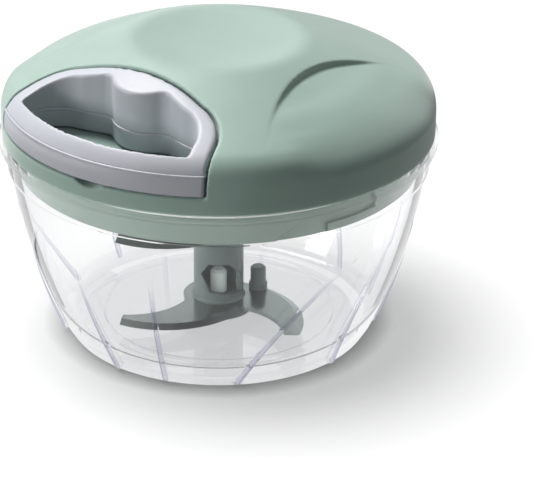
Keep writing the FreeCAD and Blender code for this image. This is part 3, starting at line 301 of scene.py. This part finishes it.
def brushed_steel(name, colour, rough, across):
    """Steel with fine brushed lines, long in the direction where across is small."""
    material, tree, shader = new_material(name)
    lines = noise(tree, BRUSH_SCALE, 4, across=across)
    feed(tree, shader, {"Base Color": speckled(tree, lines, shade(colour, 0.94), shade(colour, 1.04)),
                        "Roughness": uneven(tree, lines, rough - 0.03, rough + 0.04),
                        "Metallic": 1.0, "Normal": bump(tree, lines, BRUSH_DEPTH)})
    return material


def cord_fibre(name):
    """Pale polyester cord with fine fibres."""
    material, tree, shader = new_material(name)
    fibres = noise(tree, 3500, 3)
    feed(tree, shader, {"Base Color": speckled(tree, fibres, (0.52, 0.52, 0.50), (0.74, 0.74, 0.72)),
                        "Roughness": 0.8, "Sheen Weight": 0.3, "Normal": bump(tree, fibres, 0.06 * MM)})
    return material


# The clear bowl's wall: its radius and level at foot and mouth, and how far it bulges between them.
# Each pair after these runs from where a look starts to where it is full: the ribs' painted shade by how
# far they stand out and by level, the foot's greyer tint and its denser shadow by level, and the frosted
# pin with its painted glow by level and by distance from the axis.
BOWL_FOOT = (48.1 * MM, 3.0 * MM)
BOWL_MOUTH = (63.6 * MM, 60.9 * MM)
BOWL_BULGE = 2.66 * MM
RIB_DEPTH = (0.25 * MM, 0.55 * MM)
RIB_TOP = (49 * MM, 48 * MM)
FOOT_GREYING = (5.2 * MM, 4.4 * MM)
FOOT_SHADE = (4.6 * MM, 2.2 * MM)
PIN_BASE = (4.0 * MM, 4.6 * MM)
PIN_SIDE = (3.4 * MM, 3.0 * MM)
MIRROR_POWER = 3.2
MIRROR_EDGE_ON = 0.80
MIRROR_FACE_ON = 0.025


def bowl_places(tree):
    """The level of a point of the bowl, its distance from the axis, and 1 where it is on a rib."""
    place = shader_node(tree, "TexCoord", {}).outputs["Object"]
    parts = shader_node(tree, "SeparateXYZ", {0: place}).outputs
    level = parts["Z"]
    across = math_node(tree, "MULTIPLY", parts["X"], parts["X"])
    span = math_node(tree, "SQRT", math_node(tree, "MULTIPLY_ADD", parts["Y"], parts["Y"], across))
    share = ranged(tree, level, BOWL_FOOT[1], BOWL_MOUTH[1])
    hump = math_node(tree, "MULTIPLY", share, math_node(tree, "SUBTRACT", 1.0, share))
    bulge = math_node(tree, "MULTIPLY", hump, 4 * BOWL_BULGE)
    slope = math_node(tree, "MULTIPLY_ADD", share, BOWL_MOUTH[0] - BOWL_FOOT[0], BOWL_FOOT[0])
    wall = math_node(tree, "ADD", slope, bulge)
    raised = ranged(tree, math_node(tree, "SUBTRACT", span, wall), *RIB_DEPTH)
    rib = math_node(tree, "MULTIPLY", raised, ranged(tree, level, *RIB_TOP))
    return level, span, rib


def bowl_tint(tree, level, rib, facing):
    """Nearly clear face on and greyer edge on, a little greyer in the foot, and with painted shade in the
    ribs.
    """
    plain = stops(tree, facing, (0.0, (0.996, 0.996, 0.996)), (0.62, (0.988, 0.989, 0.99)),
                  (0.88, (0.975, 0.976, 0.98)), (1.0, (0.89, 0.895, 0.92)))
    # Painted shade in the ribs, darkest where they are seen edge on
    painted_rib_shade = stops(tree, facing, (0.0, (0.80, 0.805, 0.86)), (0.5, (0.70, 0.71, 0.79)),
                 (1.0, (0.46, 0.47, 0.60)))
    # A little greyer low in the foot
    foot = ranged(tree, level, *FOOT_GREYING)
    foot_greyed = mixed_colour(tree, foot, plain, (0.94, 0.945, 0.95, 1), "MULTIPLY")
    return mixed_colour(tree, rib, foot_greyed, painted_rib_shade)


def clear_plastic(name):
    """Clear moulded plastic as a thin wall: it bends light little, mirrors more and takes on a
    tint where it is seen edge on, and lets lamps through. Its ribs carry painted shade, and its
    centre pin is moulded frosted and given a painted glow."""
    material, tree, shader = new_material(name)
    level, span, rib = bowl_places(tree)
    facing = shader_node(tree, "LayerWeight", {"Blend": 0.5}).outputs["Facing"]
    bend = shader_of(tree, "BsdfRefraction", {"Color": bowl_tint(tree, level, rib, facing),
                                              "Roughness": 0.0, "IOR": 1.03})
    mirror = shader_of(tree, "BsdfAnisotropic", {"Color": (0.96, 0.96, 0.97, 1), "Roughness": 0.04})
    edge_on = math_node(tree, "POWER", facing, MIRROR_POWER)
    shine = math_node(tree, "MULTIPLY_ADD", edge_on, MIRROR_EDGE_ON, MIRROR_FACE_ON)
    body = mixed(tree, shine, bend, mirror)
    # The pin is frosted plastic with a faint painted glow from its emission
    frosted_glowing_pin = math_node(tree, "MULTIPLY", ranged(tree, level, *PIN_BASE), ranged(tree, span, *PIN_SIDE))
    feed(tree, shader, {"Base Color": (0.50, 0.56, 0.54, 1), "Roughness": 0.4,
                        "Emission Color": (0.78, 0.90, 0.87, 1), "Emission Strength": 0.12})
    look = mixed(tree, frosted_glowing_pin, body, shader.outputs[0])
    dim = mixed_colour(tree, ranged(tree, level, *FOOT_SHADE), (0.95, 0.95, 0.95, 1), (0.45, 0.45, 0.46, 1))
    passed = shader_of(tree, "BsdfTransparent", {"Color": dim})
    look = mixed(tree, any_of(tree, "Is Shadow Ray"), look, passed)
    feed(tree, tree.nodes["Material Output"], {"Surface": look})
    return material


paint = plastic("LidPaint", (0.312, 0.438, 0.382), 0.5, grain=0.006 * MM, shine=0.25, sheen=0.5)
shell = plastic("HandleShell", (0.48, 0.495, 0.535), 0.44, grain=0.005 * MM, shine=0.35)
seam = plastic("HandleSeam", (0.50, 0.51, 0.56), 0.4)
base = plastic("BasePlastic", (0.165, 0.22, 0.19), 0.4, grain=0.005 * MM, edge=0.4 * MM)
rubber = plastic("SealRubber", (0.70, 0.72, 0.70), 0.5, shine=0.4, edge=0.3 * MM, scatter=0.2)
column = plastic("ColumnPlastic", (0.085, 0.112, 0.106), 0.34, grain=0.004 * MM, edge=0.4 * MM)
gear = plastic("GearPlastic", (0.75, 0.75, 0.72), 0.4, grain=0.004 * MM, edge=0.3 * MM)
blade = brushed_steel("BladeSteel", (0.25, 0.29, 0.285), 0.2, (1, 0.12, 1))
bare = brushed_steel("BareSteel", (0.60, 0.60, 0.60), 0.3, (1, 1, 0.1))
spring = brushed_steel("SpringSteel", (0.40, 0.41, 0.44), 0.3, (0.1, 0.1, 1))
clear = clear_plastic("ClearBowl")
fibre = cord_fibre("CordFibre")

LOOKS = {
    "bowl": clear,
    "lid_cover": paint,
    "handle_upper_shell": shell,
    "handle_lower_shell": shell,
    "lid_base": base,
    "seal_ring": rubber,
    "blade_column": column,
    "lower_blade": blade,
    "upper_blade": blade,
    "lid_screws": bare,
    "reel_axle": bare,
    "axle_clip": bare,
    "cord_eyelet": bare,
    "cord_stop": bare,
    "power_spring": spring,
    "cord_reel": gear,
    "spring_cover": gear,
    "drive_spindle": gear,
    "drive_pawl_a": gear,
    "drive_pawl_b": gear,
    "cord_winding": fibre,
    "cord_lead": fibre,
    "cord_stretch": fibre,
}
for node, look in LOOKS.items():
    held = nodes[node].data.materials
    held.clear()
    held.append(look)


# Mouldings whose edges are rounded as a mould rounds them

# The lid, all in millimetres: the arcs of its two grip scoops, the span and level at which their
# floors start and end and how far these bulge, its radius, its rounded shoulder and its dome,
# which leans 22 degrees at its end and less towards the middle
SCOOP_X = 91.0
SCOOP_Y = 4.0
SCOOP_ROUND = 58.0
SCOOP_START = (30.5, 88.9)
SCOOP_END = (61.3, 78.9)
SCOOP_BULGE = 0.4
LID_RADIUS = 65.0
SHOULDER_ROUND = 9.6
SHOULDER_FOOT = 71.3
DOME_END = (59.0, 80.2)
DOME_LEAN = math.radians(22)
DOME_EASING = 900

# The floor that rolls over into the lid's side, as a rounded curve
ROLL_HEIGHT = 19.2
ROLL_POWERS = (2.5, 0.625)

# How far up the normal of a vertex has to point before softening moves it
UPWARD = 0.02

# How the solid's scoops become the softened ones, again in millimetres. A span counts from the
# lid's middle, and a reach counts inward from the scoop's arc
FIRST_SPAN = 31
ARC_EDGE = -0.9
ROLL_SPANS = (38, 50)
RISE_SPANS = (43, 51)
RISE_REACH = (0.5, 13)
FADE_SPANS = (52, 56)
FADE_REACH = (ARC_EDGE, 21)
ARC_SPANS = (54, 56)
ARC_REACH = (-0.5, 0.5)
LEAST_STEP = 0.3
FOOT_EASING = 2

# Where the mouldings are smoothed once more, by level, reach and span in millimetres
FLOOR_WEAR = ((72, 74), (3, 12), (44, 50))
END_WEAR = ((68.5, 70.5), (-3, -1), (53, 56))
UPPER_WEAR = (75.5, 76.6)
LOWER_WEAR = (70.5, 72)


def fixed(piece, *modifiers):
    """The piece's mesh with its modifiers applied. A modifier is a name, a kind and its settings."""
    for name, kind, settings in modifiers:
        step = piece.modifiers.new(name, kind)
        for key, value in settings.items():
            setattr(step, key, value)
    bpy.context.view_layer.update()
    ready = piece.evaluated_get(bpy.context.evaluated_depsgraph_get())
    mesh = bpy.data.meshes.new_from_object(ready)
    piece.modifiers.clear()
    piece.data = mesh
    return mesh


def moulded(name, node, body, voxel, passes):
    """The node's solid in fine facets, with its edges worn round."""
    piece = new_object(name, nodes[node].data.copy())
    for polygon in piece.data.polygons:
        polygon.material_index = 0
    facets = {"mode": "VOXEL", "voxel_size": voxel, "use_smooth_shade": True}
    rounding = {"factor": 0.5, "iterations": passes}
    mesh = fixed(piece, ("Facets", "REMESH", facets), ("Rounding", "SMOOTH", rounding))
    mesh.materials.clear()
    mesh.materials.append(LOOKS[node])
    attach(piece, body)
    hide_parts(node)
    return piece


def worn(piece, share, passes):
    """Round the piece off where share, which takes a point in millimetres, is over 0."""
    group = piece.vertex_groups.new(name="Worn")
    for vertex in piece.data.vertices:
        weight = share(vertex.co / MM)
        if weight > 0:
            group.add([vertex.index], weight, "REPLACE")
    fixed(piece, ("Wear", "SMOOTH", {"factor": 0.5, "iterations": passes, "vertex_group": "Worn"}))
    piece.vertex_groups.clear()


def ease(value, low, high):
    """0 below low, 1 above high and a smooth rise between."""
    share = min(1.0, max(0.0, (value - low) / (high - low)))
    return share * share * (3 - 2 * share)


def scoop_reach(point):
    """How far inside the nearer grip scoop's arc a point of the lid lies."""
    side = 1 if point.x > 0 else -1
    return SCOOP_ROUND - math.hypot(point.x - side * SCOOP_X, point.y - SCOOP_Y)


def dome_level(span):
    """Height of the lid's dome at a distance from its middle."""
    if span < DOME_END[0]:
        run = DOME_END[0] - span
        return DOME_END[1] + run * math.tan(DOME_LEAN - run / DOME_EASING)
    run = min(span - (LID_RADIUS - SHOULDER_ROUND), SHOULDER_ROUND)
    return SHOULDER_FOOT + math.sqrt(SHOULDER_ROUND ** 2 - run ** 2)


def scoop_level(span):
    """Height of a scoop's floor as the solid has it."""
    if span > SCOOP_END[0]:
        return dome_level(span)
    share = (span - SCOOP_START[0]) / (SCOOP_END[0] - SCOOP_START[0])
    slope = SCOOP_START[1] + share * (SCOOP_END[1] - SCOOP_START[1])
    return slope + 4 * SCOOP_BULGE * share * (1 - share)


def rolled_level(span):
    """Height of a floor that rolls over into the side in one broad curve."""
    share = min(1.0, span / LID_RADIUS)
    return SHOULDER_FOOT + ROLL_HEIGHT * (1 - share ** ROLL_POWERS[0]) ** ROLL_POWERS[1]


def soften_scoops(piece):
    """Let the scoops' steps die out before the lid's shoulder, and roll their floors down into it."""
    vertices = piece.data.vertices
    upward = [vertex.normal.z > UPWARD for vertex in vertices]
    for vertex in vertices:
        point = vertex.co / MM
        reach = scoop_reach(point)
        span = math.hypot(point.x, point.y)
        if reach < ARC_EDGE or span < FIRST_SPAN or point.z < SHOULDER_FOOT or not upward[vertex.index]:
            continue
        dome = dome_level(span)
        solid = scoop_level(span)
        goal = solid + (rolled_level(span) - solid) * ease(span, *ROLL_SPANS)
        goal += max(0.0, dome - goal) * ease(span, *RISE_SPANS) * (1 - ease(reach, *RISE_REACH))
        goal += (dome - goal) * (1 - ease(reach, *FADE_REACH)) * ease(span, *FADE_SPANS)
        sunk = 0.0
        if dome - solid > LEAST_STEP:
            sunk = min(1.0, max(0.0, (dome - point.z) / (dome - solid)))
        sunk += (ease(reach, *ARC_REACH) - sunk) * ease(span, *ARC_SPANS)
        fresh = dome + (goal - dome) * sunk
        known = dome + (solid - dome) * sunk
        vertex.co.z += (fresh - known) * ease(point.z, SHOULDER_FOOT, SHOULDER_FOOT + FOOT_EASING) * MM
    piece.data.update()


def scoop_wear(point):
    """Where a scoop's floor and the ends of its arc are smoothed into the lid's shoulder."""
    place = (point.z, scoop_reach(point), math.hypot(point.x, point.y))
    inside = math.prod(ease(value, *bounds) for value, bounds in zip(place, FLOOR_WEAR))
    ends = math.prod(ease(value, *bounds) for value, bounds in zip(place, END_WEAR))
    return max(inside, ends)


def upper_wear(point):
    """The handle's upper shell is rounder above its foot."""
    return ease(point.z, *UPPER_WEAR)


def lower_wear(point):
    """The handle's lower shell is rounder towards its bottom."""
    return 1 - ease(point.z, *LOWER_WEAR)


# Beads and cords, as rings of vertices with faces between them

PARTING_LEVEL = 75.04 * MM
BEAD_RADIUS = 0.37 * MM
BEAD_STEP = 0.9 * MM
BEAD_SIDES = 8
LEAST_POINTS = 12
SAME_PLACE = 0.002 * MM


def skinned(build, rings):
    """Faces from each ring of vertices to the next."""
    for near, far in zip(rings, rings[1:]):
        for step in range(len(near)):
            turn = (step + 1) % len(near)
            build.faces.new((near[step], near[turn], far[turn], far[step]))


def built(name, build, look):
    """A piece from the mesh in the making, with smooth sides and flat ends."""
    for face in build.faces:
        face.smooth = len(face.verts) == 4
    bmesh.ops.recalc_face_normals(build, faces=build.faces)
    mesh = bpy.data.meshes.new(name)
    build.to_mesh(mesh)
    build.free()
    mesh.materials.append(look)
    return new_object(name, mesh)


def cut_outlines(node, level):
    """The outlines of a level cut through the node's solid, each a list of points."""
    cut = bmesh.new()
    cut.from_mesh(nodes[node].data)
    bmesh.ops.remove_doubles(cut, verts=cut.verts, dist=SAME_PLACE)
    whole = cut.verts[:] + cut.edges[:] + cut.faces[:]
    made = bmesh.ops.bisect_plane(cut, geom=whole, plane_co=(0, 0, level), plane_no=(0, 0, 1))
    cut.verts.index_update()
    places = {}
    links = {}
    for item in made["geom_cut"]:
        if isinstance(item, bmesh.types.BMEdge):
            for end, other in (item.verts, reversed(item.verts)):
                places[end.index] = end.co.copy()
                links.setdefault(end.index, []).append(other.index)
    cut.free()
    outlines = []
    left = set(places)
    while left:
        ahead = [max(sorted(left), key=lambda number: places[number].length)]
        walk = []
        while ahead:
            walk.append(ahead[0])
            left.remove(ahead[0])
            ahead = [number for number in sorted(links[walk[-1]]) if number in left]
        outlines.append([places[number] for number in walk])
    return outlines


def even_loop(loop, step):
    """A closed loop of points again, at even steps."""
    closed = loop + loop[:1]
    lengths = [0.0]
    for before, after in zip(closed, closed[1:]):
        lengths.append(lengths[-1] + (after - before).length)
    count = round(lengths[-1] / step)
    points = []
    span = 0
    for number in range(count):
        goal = lengths[-1] * number / count
        while lengths[span + 1] < goal:
            span += 1
        share = (goal - lengths[span]) / max(lengths[span + 1] - lengths[span], 1e-9)
        points.append(closed[span].lerp(closed[span + 1], share))
    return points


def parting_bead(name, node, body, look):
    """A fine bead where the halves of a moulding meet, along the outlines of the node there."""
    build = bmesh.new()
    up = Vector((0, 0, 1))
    turns = [2 * math.pi * side / BEAD_SIDES for side in range(BEAD_SIDES)]
    for loop in cut_outlines(node, PARTING_LEVEL):
        if len(loop) < LEAST_POINTS:
            continue
        line = even_loop(loop, BEAD_STEP)
        rings = []
        for number, point in enumerate(line):
            run = line[(number + 1) % len(line)] - line[number - 1]
            out = Vector((run.y, -run.x, 0)).normalized()
            arms = [out * math.cos(turn) + up * math.sin(turn) for turn in turns]
            rings.append([build.verts.new(point + arm * BEAD_RADIUS) for arm in arms])
        skinned(build, rings + rings[:1])
    piece = built(name, build, look)
    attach(piece, body)
    return piece


cover = moulded("LidCoverShell", "lid_cover", "lid", voxel=0.45 * MM, passes=8)
soften_scoops(cover)
worn(cover, scoop_wear, passes=30)
upper = moulded("HandleUpper", "handle_upper_shell", "handle", voxel=0.35 * MM, passes=8)
worn(upper, upper_wear, passes=26)
lower = moulded("HandleLower", "handle_lower_shell", "handle", voxel=0.4 * MM, passes=6)
worn(lower, lower_wear, passes=10)
parting_bead("HandlePartingLine", "handle_upper_shell", "handle", seam)


# Pull cord: three strands laid round each other

CORD_RADIUS = 0.9 * MM
CORD_CORE = 0.78
STRANDS = 3
STRAND_POWER = 0.6
STRAND_LAY = 5.5 * MM
CORD_FACES = 18
CORD_LEVEL = 77.4 * MM
WINDING_RADIUS = 21.0 * MM
WINDING_TURNS = 3.25
WINDING_PITCH = 2.2 * MM
WINDING_STEPS = 720
CORNER_Y = -25.5 * MM
CORNER_ROUND = 5.4 * MM
LEAD_STEPS = 24
EYELET_STEPS = 8
EYELET_Y = -31.1 * MM
STOP_Y = -33.6 * MM
STRETCH_STEPS = 1300
PULL = 300 * MM

# The angle at the reel's axis between the lead's corner and the place where the cord leaves the drum
GATE = math.acos(WINDING_RADIUS / -CORNER_Y)


def laid_cord(name, path, twists, replaced):
    """A three-strand cord through a list of points, turned by the twist given for each."""
    build = bmesh.new()
    rings = []
    side = Vector((0, 0, 1))
    for number, point in enumerate(path):
        before = path[max(number - 1, 0)]
        after = path[min(number + 1, len(path) - 1)]
        run = (after - before).normalized()
        side = (side - run * side.dot(run)).normalized()
        other = run.cross(side)
        ring = []
        for step in range(CORD_FACES):
            angle = 2 * math.pi * step / CORD_FACES
            lobe = abs(math.sin(STRANDS / 2 * (angle - twists[number])))
            reach = CORD_RADIUS * (CORD_CORE + (1 - CORD_CORE) * lobe ** STRAND_POWER)
            ring.append(build.verts.new(point + (side * math.cos(angle) + other * math.sin(angle)) * reach))
        rings.append(ring)
    skinned(build, rings)
    build.faces.new(reversed(rings[0]))
    build.faces.new(rings[-1])
    piece = built(name, build, fibre)
    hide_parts(replaced)
    return piece


def even_twists(path):
    """The twist of the strands at each point of a path."""
    twists = [0.0]
    for before, after in zip(path, path[1:]):
        twists.append(twists[-1] + 2 * math.pi * (after - before).length / STRAND_LAY)
    return twists


def winding_path():
    """Round the drum, one pitch down with each turn back from where the cord leaves it."""
    first = math.atan2(-math.cos(GATE), -math.sin(GATE))
    path = []
    for number in range(WINDING_STEPS + 1):
        back = WINDING_TURNS * (1 - number / WINDING_STEPS)
        angle = first - 2 * math.pi * back
        path.append(Vector((WINDING_RADIUS * math.cos(angle), WINDING_RADIUS * math.sin(angle),
                            CORD_LEVEL - WINDING_PITCH * back)))
    return path


def lead_path():
    """Straight off the drum, round one bend and straight out through the eyelet."""
    leave = Vector((-WINDING_RADIUS * math.sin(GATE), -WINDING_RADIUS * math.cos(GATE), CORD_LEVEL))
    corner = Vector((0, CORNER_Y, CORD_LEVEL))
    run = (corner - leave).normalized()
    bend = run.angle(Vector((0, -1, 0)))
    reach = CORNER_ROUND * math.tan(bend / 2)
    start = corner - run * reach
    centre = start + Vector((run.y, -run.x, 0)) * CORNER_ROUND
    path = [leave.lerp(start, step / LEAD_STEPS) for step in range(LEAD_STEPS)]
    for step in range(LEAD_STEPS + 1):
        arm = start - centre
        arm.rotate(Matrix.Rotation(-bend * step / LEAD_STEPS, 3, "Z"))
        path.append(centre + arm)
    last = path[-1]
    eyelet = Vector((0, EYELET_Y, CORD_LEVEL))
    path += [last.lerp(eyelet, (step + 1) / EYELET_STEPS) for step in range(EYELET_STEPS)]
    return path


def stretch_path():
    """The short run to the handle and its twists, in rings that lie evenly once it is pulled out.
    Their places at rest are the inverse of the smooth rise by which the run stretches."""
    path = []
    twists = []
    for number in range(STRETCH_STEPS + 1):
        share = number / STRETCH_STEPS
        place = 0.5 - math.sin(math.asin(1 - 2 * share) / 3)
        path.append(Vector((0, EYELET_Y + (STOP_Y - EYELET_Y) * place, CORD_LEVEL)))
        twists.append(-2 * math.pi * PULL * share / STRAND_LAY)
    return path, twists


way = winding_path()
winding = laid_cord("CordWinding", way, even_twists(way), "cord_winding")
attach(winding, "reel")
way = lead_path()
lead = laid_cord("CordLead", way, even_twists(way), "cord_lead")
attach(lead, "lid")
way, twists = stretch_path()
stretch = laid_cord("CordStretch", way, twists, "cord_stretch")
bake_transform(stretch)
